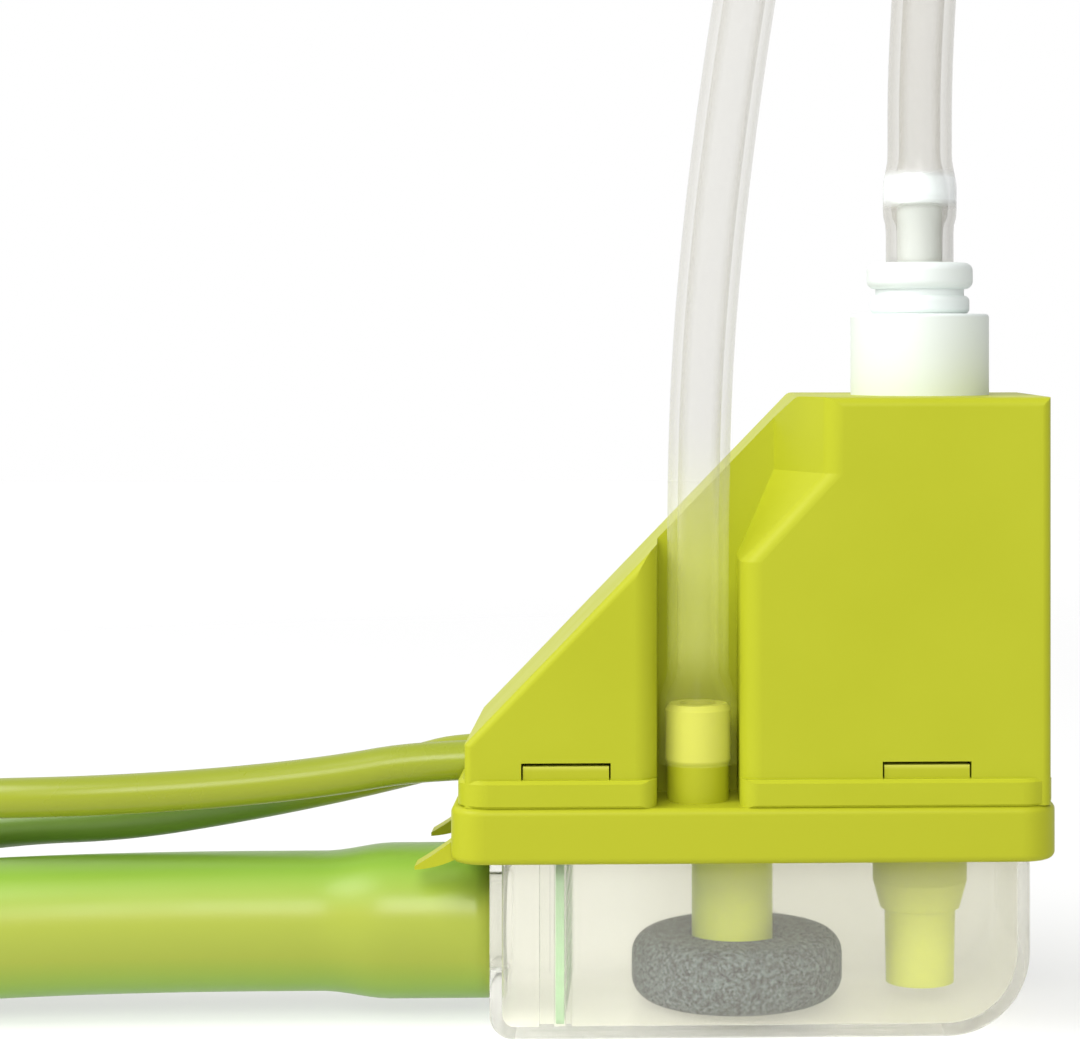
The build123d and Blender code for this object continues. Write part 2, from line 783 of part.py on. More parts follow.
# Piston: a magnetic sleeve with a seal at its top, held between two springs
piston_top = piston_bottom + piston_length
seal_height = 1.6
with BuildPart() as piston:
    turned(
        [
            (piston_bore, piston_bottom),
            (tube_bore - fit_gap - 0.5, piston_bottom),
            (tube_bore - fit_gap, piston_bottom + 0.5),
            (tube_bore - fit_gap, piston_top - 2 * seal_height),
            (tube_bore - 1, piston_top - 2 * seal_height),
            (tube_bore - 1, piston_top - seal_height),
            (tube_bore - fit_gap, piston_top - seal_height),
            (tube_bore - fit_gap, piston_top),
            (piston_bore, piston_top),
        ],
        pump_x,
    )
with BuildPart() as piston_seal:
    ring(tube_bore - 1, tube_bore - fit_gap / 2, piston_top - 2 * seal_height, piston_top - seal_height, pump_x)

outlet_seat_z = piston_top + 5.5
outlet_face = outlet_seat_z + 1.8
with BuildPart() as lower_spring:
    add(coil_spring(spring_radius, spring_wire, retainer_z + 1.2, piston_bottom, 4))
with BuildPart() as upper_spring:
    add(coil_spring(spring_radius, spring_wire, piston_top, outlet_seat_z, 3))

# Outlet valve at the tube's top
outlet_stop = outlet_face + 4.5
with BuildPart() as outlet_seat:
    valve_seat(outlet_seat_z, outlet_face - outlet_seat_z)
with BuildPart() as outlet_valve:
    poppet(outlet_face, outlet_seat_z + 0.3, outlet_stop - valve_lift - 0.4)
with BuildPart() as outlet_valve_spring:
    add(coil_spring(valve_hole, 0.3, outlet_face + poppet_disc, outlet_stop, 3))

# Coil: bobbin, winding, two pole sleeves and the steel yoke round them
coil_top = coil_bottom + winding_height
sleeve_length = 7.0
with BuildPart() as coil_bobbin:
    turned(
        [
            (bobbin_bore, coil_bottom),
            (bobbin_radius, coil_bottom),
            (bobbin_radius, coil_bottom + bobbin_wall),
            (bobbin_bore + bobbin_wall, coil_bottom + bobbin_wall),
            (bobbin_bore + bobbin_wall, coil_top - bobbin_wall),
            (bobbin_radius, coil_top - bobbin_wall),
            (bobbin_radius, coil_top),
            (bobbin_bore, coil_top),
        ],
        pump_x,
    )
with BuildPart() as coil_winding:
    ring(bobbin_bore + bobbin_wall, winding_radius, coil_bottom + bobbin_wall, coil_top - bobbin_wall, pump_x)
with BuildPart() as pole_sleeves:
    for sleeve_z in (coil_bottom - yoke_plate, coil_top + yoke_plate - sleeve_length):
        ring(tube_radius + fit_gap, bobbin_bore - fit_gap, sleeve_z, sleeve_z + sleeve_length, pump_x)
yoke_bottom = coil_bottom - yoke_plate
yoke_top = coil_top + yoke_plate
yoke_depth = 9.0
with BuildPart() as steel_yoke:
    block((pump_x - yoke_half, pump_x + yoke_half), (-yoke_depth, yoke_depth), (yoke_bottom, yoke_top))
    fillet(steel_yoke.edges().filter_by(Axis.Y), radius=yoke_plate)
    inner_half = yoke_half - yoke_plate
    block((pump_x - inner_half, pump_x + inner_half), (-yoke_depth - 1, yoke_depth + 1), (coil_bottom, coil_top), mode=Mode.SUBTRACT)
    upright(bobbin_bore, yoke_bottom - 1, yoke_top + 1, pump_x, mode=Mode.SUBTRACT)

# Thermal cut-out: a small block held against the winding
cutout_size = (7.0, 2.6, 9.0)
with BuildPart() as thermal_cutout:
    block(
        (pump_x - cutout_size[0] / 2, pump_x + cutout_size[0] / 2),
        (-winding_radius - fit_gap - cutout_size[1], -winding_radius - fit_gap),
        (coil_top - 2 * bobbin_wall - cutout_size[2], coil_top - 2 * bobbin_wall),
    )

# Rubber mounts under and over the yoke
outlet_foot = yoke_top + 1
with BuildPart() as lower_mount:
    ring(tube_radius + fit_gap, mount_radius, coupler_top, yoke_bottom, pump_x)
with BuildPart() as upper_mount:
    ring(outlet_body + fit_gap, mount_radius + 1, yoke_top, cover_top - cover_wall, pump_x)

# Outlet: the white collar on the cover, the valve body through it and the ring that holds them
collar_top = cover_top + collar_height
ring_top = collar_top + ring_height
flange_bottom = ring_top + groove_height
flange_top = flange_bottom + flange_height
barb_top = flange_top + barb_height
bulb_height = 4.8
with BuildPart() as outlet_collar:
    ring(collar_bore, collar_radius, cover_top, collar_top, pump_x)
    fillet(outlet_collar.faces().sort_by(Axis.Z)[-1].outer_wire().edges(), radius=0.5)
with BuildPart() as outlet_ring:
    ring(outlet_body + fit_gap, ring_radius, collar_top, ring_top, pump_x)
    fillet(outlet_ring.edges().filter_by(GeomType.CIRCLE).filter_by(lambda edge: edge.radius > outlet_body + 1), radius=0.8)
with BuildPart() as outlet_valve_body:
    turned(
        [
            (tube_radius + fit_gap, outlet_foot),
            (outlet_body, outlet_foot),
            (outlet_body, ring_top),
            (groove_radius, ring_top),
            (groove_radius, flange_bottom),
            (flange_radius, flange_bottom),
            (flange_radius, flange_top),
            (barb_stem, flange_top),
            (barb_stem, barb_top - bulb_height),
            (barb_bulb, barb_top - bulb_height + 0.3),
            (barb_bulb, barb_top - bulb_height + 1.6),
            (barb_bore + 0.6, barb_top),
            (barb_bore, barb_top),
            (barb_bore, outlet_stop + 1.2),
            (valve_stem + 0.3, outlet_stop + 1.2),
            (valve_stem + 0.3, outlet_stop),
            (valve_head + 0.6, outlet_stop),
            (valve_head + 0.6, tube_top),
            (tube_radius + fit_gap, tube_top),
            (tube_radius + fit_gap, outlet_foot + 2.2),
            (tube_radius + 1, outlet_foot + 2.2),
            (tube_radius + 1, outlet_foot + 1),
            (tube_radius + fit_gap, outlet_foot + 1),
        ],
        pump_x,
    )
    flange_rims = outlet_valve_body.edges().filter_by(GeomType.CIRCLE).filter_by(
        lambda edge: abs(edge.radius - flange_radius) < 0.01
    )
    fillet(flange_rims, radius=min(flange_height / 2, flange_radius - groove_radius) - 0.1)
with BuildPart() as outlet_o_ring:
    with BuildSketch(Plane(origin=(pump_x, 0, 0), x_dir=(1, 0, 0), z_dir=(0, -1, 0))):
        with Locations((tube_radius + 0.5, outlet_foot + 1.6)):
            Circle(0.45)
    revolve(axis=Axis((pump_x, 0, 0), (0, 0, 1)))

# Cable clamp and its two screws on the lid's saddle
clamp_top = cable_z + cable_radius + 1.2
screw_head = 1.4
with BuildPart() as cable_clamp:
    block(clamp_span, (-clamp_half, clamp_half), (cable_z + fit_gap, clamp_top))
    cable_bores(clamp_span[0] - 1, clamp_span[1] + 1)
    clamp_holes(lid_top, clamp_screw_radius + fit_gap)
with BuildPart() as clamp_screws:
    for screw_y in (-clamp_screw_y, clamp_screw_y):
        upright(clamp_screw_radius - 0.1, lid_top, clamp_top, clamp_screw_x, screw_y)
        upright(2 * clamp_screw_radius, clamp_top, clamp_top + screw_head, clamp_screw_x, screw_y)
        slot = (screw_y - 0.3, screw_y + 0.3)
        block(
            (clamp_screw_x - 3, clamp_screw_x + 3),
            slot,
            (clamp_top + screw_head / 2, clamp_top + screw_head + 1),
            mode=Mode.SUBTRACT,
        )

# Control board in the lid's slotted posts, with its parts
board_front = board_y - board_thickness / 2
board_back = board_y + board_thickness / 2
board_middle = (board_bottom + board_top) / 2
with BuildPart() as control_board:
    block((board_left, board_right), (board_front, board_back), (board_bottom, board_top))
with BuildPart() as terminal_block:
    terminal_span = (board_left + 6, board_left + 20)
    block(terminal_span, (board_front - 7, board_front), (board_bottom + 4, board_bottom + 12))
    with BuildSketch(Plane.XY.offset(board_bottom + 12)):
        with Locations((sum(terminal_span) / 2, board_front - 3.5)):
            with GridLocations(3.4, 1, 4, 1):
                Circle(1.2)
    extrude(amount=-5, mode=Mode.SUBTRACT)
with BuildPart() as film_capacitor:
    block((board_right - 12, board_right - 1), (board_front - 6, board_front), (board_bottom + 5, board_top - 1))
    fillet(film_capacitor.edges().filter_by(Axis.Z), radius=0.8)
with BuildPart() as triac:
    block((board_right - 12, board_right - 2), (board_back, board_back + 4.4), (board_bottom + 3, board_bottom + 12))
    block((board_right - 12, board_right - 2), (board_back, board_back + 1.3), (board_bottom + 12, board_bottom + 15))
with BuildPart() as varistor:
    with BuildSketch(Plane.XZ.offset(-board_back)):
        with Locations((board_left + 10, board_middle)):
            Circle(4.5)
    extrude(amount=-3.5)
    fillet(varistor.faces().sort_by(Axis.Y)[-1].edges(), radius=1.2)

# Cords: each route is straight runs joined by the largest arcs that the runs have room for
vent_tube_foot = lid_top + vent_shoulder
vent_flare_top = vent_top + 0.4
vent_tube_start = vent_flare_top + 4.4
discharge_start = barb_top + 2.7
inlet_face_x = reservoir_left - fit_gap
hose_start_x = reservoir_left - cuff_length - cuff_taper
clamp_end = clamp_span[1] + 4

vent_route = [
    (vent_x, vent_y, vent_tube_start),
    (vent_x, vent_y, 73),
    (-7.6, vent_y, 92),
    (-6.2, vent_y, 111),
    (-4.0, vent_y, 130),
    (-1.2, vent_y, 149),
    (2.0, vent_y, 168),
    (5.6, vent_y, 187),
]
discharge_route = [
    (pump_x, 0, discharge_start),
    (pump_x, 0, 138),
    (25.9, 0, 152),
    (27.0, 0, 166),
    (28.3, 0, 179),
]
hose_route = [
    (hose_start_x, 0, inlet_z),
    (-84, 0, inlet_z),
    (-106, -0.5, 13.2),
    (-128, -1.2, 12.2),
    (-150, -0.4, 11.1),
    (-172, 1.4, 10.5),
]
power_route = [
    (clamp_end, -cable_spacing / 2, cable_z),
    (-47, -cable_spacing / 2, cable_z),
    (-62, -3.6, 35.4),
    (-79, -4.1, 33.8),
    (-96, -5.0, 33.0),
    (-113, -4.5, 32.6),
    (-130, 0.5, 31.4),
    (-147, 8.0, 29.0),
    (-163, 16.0, 26.4),
    (-179, 22.3, 24.2),
]
signal_route = [
    (clamp_end, cable_spacing / 2, cable_z),
    (-46, cable_spacing / 2, cable_z),
    (-60, 3.6, 34.0),
    (-76, 3.9, 30.7),
    (-93, 4.8, 27.6),
    (-110, 8.4, 26.4),
    (-127, 13.2, 23.2),
    (-144, 14.6, 17.8),
    (-161, 15.0, 12.0),
    (-178, 17.0, 8.9),
    (-193, 23.0, cable_radius * 3),
]
coil_place = (-172.0, 60.0)


def corner_radii(points):
    """The largest radius that each corner of a route has room for."""
    corners = [Vector(*point) for point in points]
    radii = []
    for before, here, after in zip(corners, corners[1:], corners[2:]):
        turn = (here - before).get_angle(after - here)
        shorter = min((here - before).length, (after - here).length)
        radii.append(0.45 * shorter / math.tan(math.radians(turn / 2)))
    return radii


def cord_tube(label, points, radius, bore=0.0):
    """A plain tube along a route of straight runs and arcs, with its section against its volume printed."""
    radii = corner_radii(points)
    with BuildPart(mode=Mode.PRIVATE) as tube:
        with BuildLine(mode=Mode.PRIVATE) as route:
            FilletPolyline(*points, radius=radii)
        path = route.wires()[0]
        with BuildSketch(Plane(origin=path @ 0, z_dir=path % 0)) as section:
            Circle(radius)
            if bore:
                Circle(bore, mode=Mode.SUBTRACT)
        sweep(section.sketch, path=path)
    expected = section.sketch.area * path.length
    print(label, "radii", [round(value) for value in radii], "length", round(path.length, 1))
    print(label, "volume against section times length", round(tube.part.volume / expected, 4))
    return tube.part


with BuildPart() as vent_tube:
    turned(
        [
            (vent_barb_radius + fit_gap, vent_tube_foot),
            (vent_flare_radius, vent_tube_foot),
            (vent_flare_radius, vent_flare_top),
            (vent_tube_radius, vent_tube_start),
            (vent_tube_bore, vent_tube_start),
            (vent_barb_radius + fit_gap, vent_flare_top),
        ],
        vent_x,
        vent_y,
    )
    add(cord_tube("vent_tube", vent_route, vent_tube_radius, vent_tube_bore))

with BuildPart() as discharge_tube:
    turned(
        [
            (barb_stem + fit_gap, flange_top),
            (discharge_flare_radius, flange_top),
            (discharge_flare_radius, barb_top - bulb_height - 1),
            (discharge_bulge_radius, barb_top - bulb_height + 0.5),
            (discharge_bulge_radius, barb_top - 2),
            (discharge_radius, discharge_start),
            (discharge_bore, discharge_start),
            (barb_bulb + fit_gap, barb_top - bulb_height + 2),
            (barb_bulb + fit_gap, barb_top - bulb_height - 0.2),
            (barb_stem + fit_gap, barb_top - bulb_height - 1),
        ],
        pump_x,
    )
    add(cord_tube("discharge_tube", discharge_route, discharge_radius, discharge_bore))

with BuildPart() as hose_cuff:
    with BuildSketch(Plane.XZ):
        with BuildLine():
            Polyline(
                (inlet_face_x, inlet_z + inlet_radius + fit_gap),
                (inlet_face_x, inlet_z + cuff_radius),
                (reservoir_left - cuff_length, inlet_z + cuff_radius),
                (hose_start_x, inlet_z + hose_radius),
                (hose_start_x, inlet_z + hose_bore),
                (inlet_end - 1, inlet_z + hose_bore),
                (inlet_end - 1, inlet_z + inlet_radius + fit_gap),
                close=True,
            )
        make_face()
    revolve(axis=Axis((0, 0, inlet_z), (1, 0, 0)))
with BuildPart() as drain_hose:
    add(cord_tube("drain_hose", hose_route, hose_radius, hose_bore))

# Cable coils, one on the other: the rings that the put-away turns fill, the tails that leave them and their stripped ends
cable_diameter = 2 * cable_radius
coil_inner = inner_turn_radius - cable_radius
coil_outer = coil_inner + turns_across * cable_diameter
outer_turn_radius = coil_outer - cable_radius
coil_height = turn_layers * cable_diameter
beside_coil = coil_outer + cable_radius + 2.0
core_spread = 1.15


def round_coil(angle, radius, z):
    """A point at an angle in degrees and a radius about the coils' centre."""
    x = coil_place[0] + radius * math.cos(math.radians(angle))
    return (x, coil_place[1] + radius * math.sin(math.radians(angle)), z)


power_tail = [
    round_coil(232, outer_turn_radius, coil_height + cable_radius + fit_gap),
    round_coil(212, beside_coil - 2, coil_height + cable_radius + fit_gap),
    round_coil(190, beside_coil, coil_height + cable_radius - 2.5),
    round_coil(170, beside_coil, cable_radius + 3.5),
    round_coil(151, beside_coil, cable_radius),
    round_coil(136, beside_coil + 1.2, cable_radius),
]
signal_tail = [
    round_coil(114, outer_turn_radius, cable_radius + fit_gap),
    round_coil(84, outer_turn_radius / math.cos(math.radians(30)), cable_radius + fit_gap),
]


def coil_ring(bottom, mode=Mode.ADD):
    """A put-away coil's outer shape."""
    ring(coil_inner, coil_outer, bottom, bottom + coil_height, *coil_place, mode=mode)


def end_cores(tail, radius, start_at, length):
    """Three short round bars side by side past a tail's end."""
    heading = (Vector(*tail[-1]) - Vector(*tail[-2])).normalized()
    across = Vector(-heading.Y, heading.X, 0)
    for angle in (90, 210, 330):
        side = across * core_spread * math.cos(math.radians(angle))
        rise = Vector(0, 0, core_spread * math.sin(math.radians(angle)))
        start = Vector(*tail[-1]) + heading * start_at + side + rise
        with BuildSketch(Plane(origin=start, z_dir=heading)) as section:
            Circle(radius)
        extrude(section.sketch, amount=length)


with BuildPart() as power_cable:
    add(cord_tube("power_cable", power_route, cable_radius))
    add(cord_tube("power_tail", power_tail, cable_radius))
    coil_ring(coil_height, Mode.SUBTRACT)
with BuildPart() as signal_cable:
    add(cord_tube("signal_cable", signal_route, cable_radius))
    with BuildSketch(Plane(origin=signal_tail[0], z_dir=Vector(*signal_tail[1]) - Vector(*signal_tail[0]))) as section:
        Circle(cable_radius)
    extrude(section.sketch, amount=math.dist(*signal_tail))
    coil_ring(0, Mode.SUBTRACT)
with BuildPart() as power_coil:
    coil_ring(coil_height)
with BuildPart() as signal_coil:
    coil_ring(0)
with BuildPart() as power_cores:
    end_cores(power_tail, core_radius, 0, core_length)
with BuildPart() as signal_cores:
    end_cores(signal_tail, core_radius, 0, core_length)
with BuildPart() as power_ferrules:
    end_cores(power_tail, ferrule_radius, core_length, ferrule_length)
with BuildPart() as signal_ferrules:
    end_cores(signal_tail, ferrule_radius, core_length, ferrule_length)

# The finished pieces, each in a file of its own
pieces = {
    "reservoir": reservoir,
    "inlet_filter": inlet_filter,
    "lid": lid,
    "release_tab": release_tab,
    "lid_gasket": lid_gasket,
    "cover": cover,
    "cable_grommet": cable_grommet,
    "sensor_stem": sensor_stem,
    "float_clip": float_clip,
    "sensor_board": sensor_board,
    "hall_sensors": hall_sensors,
    "float_ring": float_ring,
    "float_magnet": float_magnet,
    "intake": intake,
    "intake_strainer": intake_strainer,
    "inlet_coupler": inlet_coupler,
    "pump_tube": pump_tube,
    "inlet_seat": inlet_seat,
    "inlet_valve": inlet_valve,
    "inlet_valve_spring": inlet_valve_spring,
    "inlet_retainer": inlet_retainer,
    "piston": piston,
    "piston_seal": piston_seal,
    "lower_spring": lower_spring,
    "upper_spring": upper_spring,
    "outlet_seat": outlet_seat,
    "outlet_valve": outlet_valve,
    "outlet_valve_spring": outlet_valve_spring,
    "coil_bobbin": coil_bobbin,
    "coil_winding": coil_winding,
    "pole_sleeves": pole_sleeves,
    "steel_yoke": steel_yoke,
    "thermal_cutout": thermal_cutout,
    "lower_mount": lower_mount,
    "upper_mount": upper_mount,
    "outlet_collar": outlet_collar,
    "outlet_ring": outlet_ring,
    "outlet_valve_body": outlet_valve_body,
    "outlet_o_ring": outlet_o_ring,
    "cable_clamp": cable_clamp,
    "clamp_screws": clamp_screws,
    "control_board": control_board,
    "terminal_block": terminal_block,
    "film_capacitor": film_capacitor,
    "triac": triac,
    "varistor": varistor,
    "vent_tube": vent_tube,
    "discharge_tube": discharge_tube,
    "hose_cuff": hose_cuff,
    "drain_hose": drain_hose,
    "power_cable": power_cable,
    "signal_cable": signal_cable,
    "power_coil": power_coil,
    "signal_coil": signal_coil,
    "power_cores": power_cores,
    "signal_cores": signal_cores,
    "power_ferrules": power_ferrules,
    "signal_ferrules": signal_ferrules,
}
os.makedirs("parts", exist_ok=True)
for label, piece in pieces.items():
    piece.part.label = label
    export_step(piece.part, f"parts/{label}.step")
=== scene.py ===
import math

import bpy
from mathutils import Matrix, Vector


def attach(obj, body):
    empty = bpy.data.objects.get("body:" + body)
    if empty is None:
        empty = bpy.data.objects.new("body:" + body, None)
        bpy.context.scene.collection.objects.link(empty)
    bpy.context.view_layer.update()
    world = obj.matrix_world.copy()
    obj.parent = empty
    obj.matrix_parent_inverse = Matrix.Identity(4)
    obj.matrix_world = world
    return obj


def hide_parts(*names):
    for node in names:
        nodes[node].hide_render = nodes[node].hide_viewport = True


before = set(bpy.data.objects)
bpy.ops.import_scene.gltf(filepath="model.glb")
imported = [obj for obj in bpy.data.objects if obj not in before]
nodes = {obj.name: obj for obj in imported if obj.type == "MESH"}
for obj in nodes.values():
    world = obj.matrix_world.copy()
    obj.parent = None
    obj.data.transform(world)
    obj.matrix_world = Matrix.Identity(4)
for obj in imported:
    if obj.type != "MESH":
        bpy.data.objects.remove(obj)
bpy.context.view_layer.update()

MM = 0.001
scene = bpy.context.scene
scene.view_settings.view_transform = "Standard"

# Camera: level, a little left of the pump, shifted so that the pump sits low and right in the frame
camera_place = (-11.48 * MM, -386.42 * MM, 98.69 * MM)
camera_turn = math.radians(-1.8)
camera_data = bpy.data.cameras.new("camera")
camera_data.sensor_width = 36
camera_data.sensor_fit = "HORIZONTAL"
camera_data.lens = 86.667
camera_data.shift_x = -0.1991
camera_data.shift_y = -0.1713
camera_data.clip_start = 0.01
camera = bpy.data.objects.new("camera", camera_data)
camera.location = camera_place
camera.rotation_euler = (math.radians(90), 0, camera_turn)
scene.collection.objects.link(camera)
scene.camera = camera


# Cords: routes in metres, with the same points as the solids' routes
def metres(*points):
    """Points given in millimetres, as vectors in metres."""
    return [Vector(point) * MM for point in points]


vent_points = metres(
    (-7.95, -13, 38.8),
    (-7.95, -13, 45),
    (-7.95, -13, 52.1),
    (-7.95, -13, 73),
    (-7.6, -13, 92),
    (-6.2, -13, 111),
    (-4.0, -13, 130),
    (-1.2, -13, 149),
    (2.0, -13, 168),
    (5.6, -13, 187),
)
discharge_points = metres(
    (25.2, 0, 110.9),
    (25.2, 0, 118),
    (25.2, 0, 126.9),
    (25.2, 0, 138),
    (25.9, 0, 152),
    (27.0, 0, 166),
    (28.3, 0, 179),
)
hose_points = metres(
    (-37.65, 0, 13.6),
    (-50, 0, 13.6),
    (-62.9, 0, 13.6),
    (-84, 0, 13.6),
    (-106, -0.5, 13.2),
    (-128, -1.2, 12.2),
    (-150, -0.4, 11.1),
    (-172, 1.4, 10.5),
)
power_points = metres(
    (-26.9, -3.5, 38.0),
    (-47, -3.5, 38.0),
    (-62, -3.6, 35.4),
    (-79, -4.1, 33.8),
    (-96, -5.0, 33.0),
    (-113, -4.5, 32.6),
    (-130, 0.5, 31.4),
    (-147, 8.0, 29.0),
    (-163, 16.0, 26.4),
    (-179, 22.3, 24.2),
)
signal_points = metres(
    (-26.9, 3.5, 38.0),
    (-42.5, 3.5, 38.0),
    (-50, 3.5, 36.0),
    (-61, 3.6, 33.4),
    (-76, 3.9, 30.4),
    (-93, 4.8, 27.6),
    (-110, 8.4, 26.4),
    (-127, 13.2, 23.2),
    (-144, 14.6, 17.8),
    (-161, 15.0, 12.0),
    (-178, 17.0, 8.9),
    (-193, 23.0, 8.85),
)
coil_place = Vector((-172, 60, 0)) * MM
cable_radius = 2.95 * MM
inner_turn = 26.5 * MM
turns_across = 3
coil_height = 4 * cable_radius
beside_coil = 46.2 * MM
points_a_turn = 24
row_change = 0.22
first_row_out = 0.55


def round_coil(angle, radius, height):
    """A point at an angle in degrees and a radius about the coils' centre."""
    turn = math.radians(angle)
    return coil_place + Vector((math.cos(turn) * radius, math.sin(turn) * radius, height))


def eased(value, low, high):
    """0 below the low limit and 1 above the high one, with a smooth change between them."""
    share = min(max((value - low) / (high - low), 0), 1)
    return share * share * (3 - 2 * share)


def wound(start_angle, bottom, turns_out):
    """A cable's put-away turns: inwards on the upper layer, down a layer, and outwards on the lower one."""
    pitch = 2 * cable_radius
    outer_turn = inner_turn + (turns_across - 1) * pitch
    round_off = math.cos(math.pi / points_a_turn)
    points = []
    for index in range(int((turns_across + turns_out) * points_a_turn) + 1):
        turned = index / points_a_turn
        rows_in = 0
        rows_out = 0
        for row in range(turns_across - 1):
            row_out = turns_across + row + first_row_out
            rows_in += eased(turned, row + 1 - row_change, row + 1)
            rows_out += eased(turned, row_out, row_out + row_change)
        radius = (outer_turn + pitch * (rows_out - rows_in)) / round_off
        height = bottom + (3 - 2 * eased(turned, turns_across - row_change, turns_across)) * cable_radius
        points.append(round_coil(start_angle - 360 * turned, radius, height))
    return points


def smooth_line(name, points, radius=0.0):
    """A round cord, or with no radius a bare line, on the smooth curve that the points control."""
    curve = bpy.data.curves.new(name, "CURVE")
    curve.dimensions = "3D"
    curve.resolution_u = 8
    curve.bevel_depth = radius
    curve.bevel_resolution = 6
    curve.use_fill_caps = radius > 0
    spline = curve.splines.new("NURBS")
    spline.points.add(len(points) - 1)
    for control, point in zip(spline.points, points):
        control.co = (*point, 1)
    spline.order_u = 3
    spline.use_endpoint_u = True
    line = bpy.data.objects.new(name, curve)
    scene.collection.objects.link(line)
    return line


def points_on(points):
    """Close points read from the smooth curve of a route."""
    line = smooth_line("guide_line", points)
    mesh = bpy.data.meshes.new_from_object(line)
    places = [vertex.co.copy() for vertex in mesh.vertices]
    bpy.data.meshes.remove(mesh)
    bpy.data.objects.remove(line)
    return places


def line_length(places):
    """The length along a row of points."""
    return sum((after - here).length for here, after in zip(places, places[1:]))


def value_at(profile, distance):
    """The value that a profile of (distance, value) pairs has at a distance, eased between its pairs."""
    before = profile[0]
    for pair in profile[1:]:
        if distance <= pair[0]:
            return before[1] + (pair[1] - before[1]) * eased(distance, before[0], pair[0])
        before = pair
    return before[1]


def hollow_tube(name, places, outer, bore, sides=48):
    """A tube with two skins along a row of points, from profiles of (distance, radius) in millimetres."""
    tangent = (places[1] - places[0]).normalized()
    across = tangent.orthogonal().normalized()
    vertices = []
    travelled = 0.0
    for index, place in enumerate(places):
        ahead = places[min(index + 1, len(places) - 1)]
        behind = places[max(index - 1, 0)]
        turned = (ahead - behind).normalized()
        across.rotate(tangent.rotation_difference(turned))
        tangent = turned
        if index:
            travelled += (place - places[index - 1]).length
        third = tangent.cross(across)
        for profile in (outer, bore):
            radius = value_at(profile, travelled / MM) * MM
            for side in range(sides):
                angle = 2 * math.pi * side / sides
                vertices.append(place + radius * (across * math.cos(angle) + third * math.sin(angle)))
    faces = []
    rings = len(places)
    for side in range(sides):
        after = (side + 1) % sides
        for ring in range(rings - 1):
            low = 2 * ring * sides
            high = low + 2 * sides
            faces.append((low + side, low + after, high + after, high + side))
            low += sides
            high += sides
            faces.append((low + after, low + side, high + side, high + after))
        last = 2 * (rings - 1) * sides
        faces.append((sides + side, sides + after, after, side))
        faces.append((last + side, last + after, last + sides + after, last + sides + side))
    mesh = bpy.data.meshes.new(name)
    mesh.from_pydata(vertices, [], faces)
    mesh.shade_smooth()
    tube = bpy.data.objects.new(name, mesh)
    scene.collection.objects.link(tube)
    return tube


# The put-away turns, and what follows them to each cable's end
power_points += wound(start_angle=238, bottom=coil_height, turns_out=2)
power_points += [
    round_coil(212, beside_coil - 2 * MM, coil_height + cable_radius),
    round_coil(190, beside_coil, coil_height + cable_radius - 2.5 * MM),
    round_coil(170, beside_coil, cable_radius + 3.5 * MM),
    round_coil(151, beside_coil, cable_radius),
    round_coil(136, beside_coil + 1.2 * MM, cable_radius),
]
signal_points += wound(start_angle=222, bottom=0, turns_out=2.3)
signal_points += [round_coil(84, 44.2 * MM, cable_radius)]
power_sheath = smooth_line("power_sheath", power_points, cable_radius)
signal_sheath = smooth_line("signal_sheath", signal_points, cable_radius)
power_length = line_length(points_on(power_points))
signal_length = line_length(points_on(signal_points))

# Tubes and hose: wide where they are pushed over their spigots, and drawn in to their own size after them
vent_line = points_on(vent_points)
vent_pipe = hollow_tube(
    "vent_pipe",
    vent_line,
    outer=[(0, 5.6), (8.6, 5.6), (13.3, 4.45), (149, 4.45)],
    bore=[(0, 4.75), (8.6, 4.75), (13.3, 3.0), (149, 3.0)],
)
discharge_line = points_on(discharge_points)
discharge_pipe = hollow_tube(
    "discharge_pipe",
    discharge_line,
    outer=[(0, 5.05), (5, 5.05), (7.4, 5.5), (11, 5.5), (16, 4.8), (69, 4.8)],
    bore=[(0, 3.4), (5, 3.45), (7.4, 4.25), (10.5, 4.25), (16, 3.1), (69, 3.1)],
)
hose_line = points_on(hose_points)
drain_line = hollow_tube(
    "drain_line",
    hose_line,
    outer=[(0, 11.3), (15.3, 11.3), (25.3, 10.15), (135, 10.15)],
    bore=[(0, 9.05), (15.0, 9.05), (25.3, 8.0), (135, 8.0)],
    sides=72,
)


# Materials
def linear(red, green, blue):
    """A screen colour, 0 to 255, as the shaders' own scene colour."""
    colour = []
    for value in (red, green, blue):
        share = value / 255
        if share <= 0.04045:
            colour.append(share / 12.92)
        else:
            colour.append(((share + 0.055) / 1.055) ** 2.4)
    return colour + [1]


def new_group(name, inputs, outputs):
    """An empty node group with named sockets: colours for (name, colour) and values for (name, number)."""
    group = bpy.data.node_groups.new(name, "ShaderNodeTree")
    for label, value in inputs:
        kind = "NodeSocketColor" if isinstance(value, list) else "NodeSocketFloat"
        socket = group.interface.new_socket(name=label, in_out="INPUT", socket_type=kind)
        socket.default_value = value
    for label, kind in outputs:
        group.interface.new_socket(name=label, in_out="OUTPUT", socket_type=kind)
    return group, group.nodes.new("NodeGroupInput"), group.nodes.new("NodeGroupOutput")


def link(tree, *pairs):
    """Joins each output socket to its input socket."""
    for source, target in pairs:
        tree.links.new(source, target)


def feed(tree, socket, value):
    """Gives an input another socket to follow, or a plain value."""
    if isinstance(value, bpy.types.NodeSocket):
        link(tree, (value, socket))
    else:
        socket.default_value = value


def worked_out(tree, operation, *values):
    """The result of a sum or comparison of sockets and plain numbers."""
    node = tree.nodes.new("ShaderNodeMath")
    node.operation = operation
    for socket, value in zip(node.inputs, values):
        feed(tree, socket, value)
    return node.outputs[0]


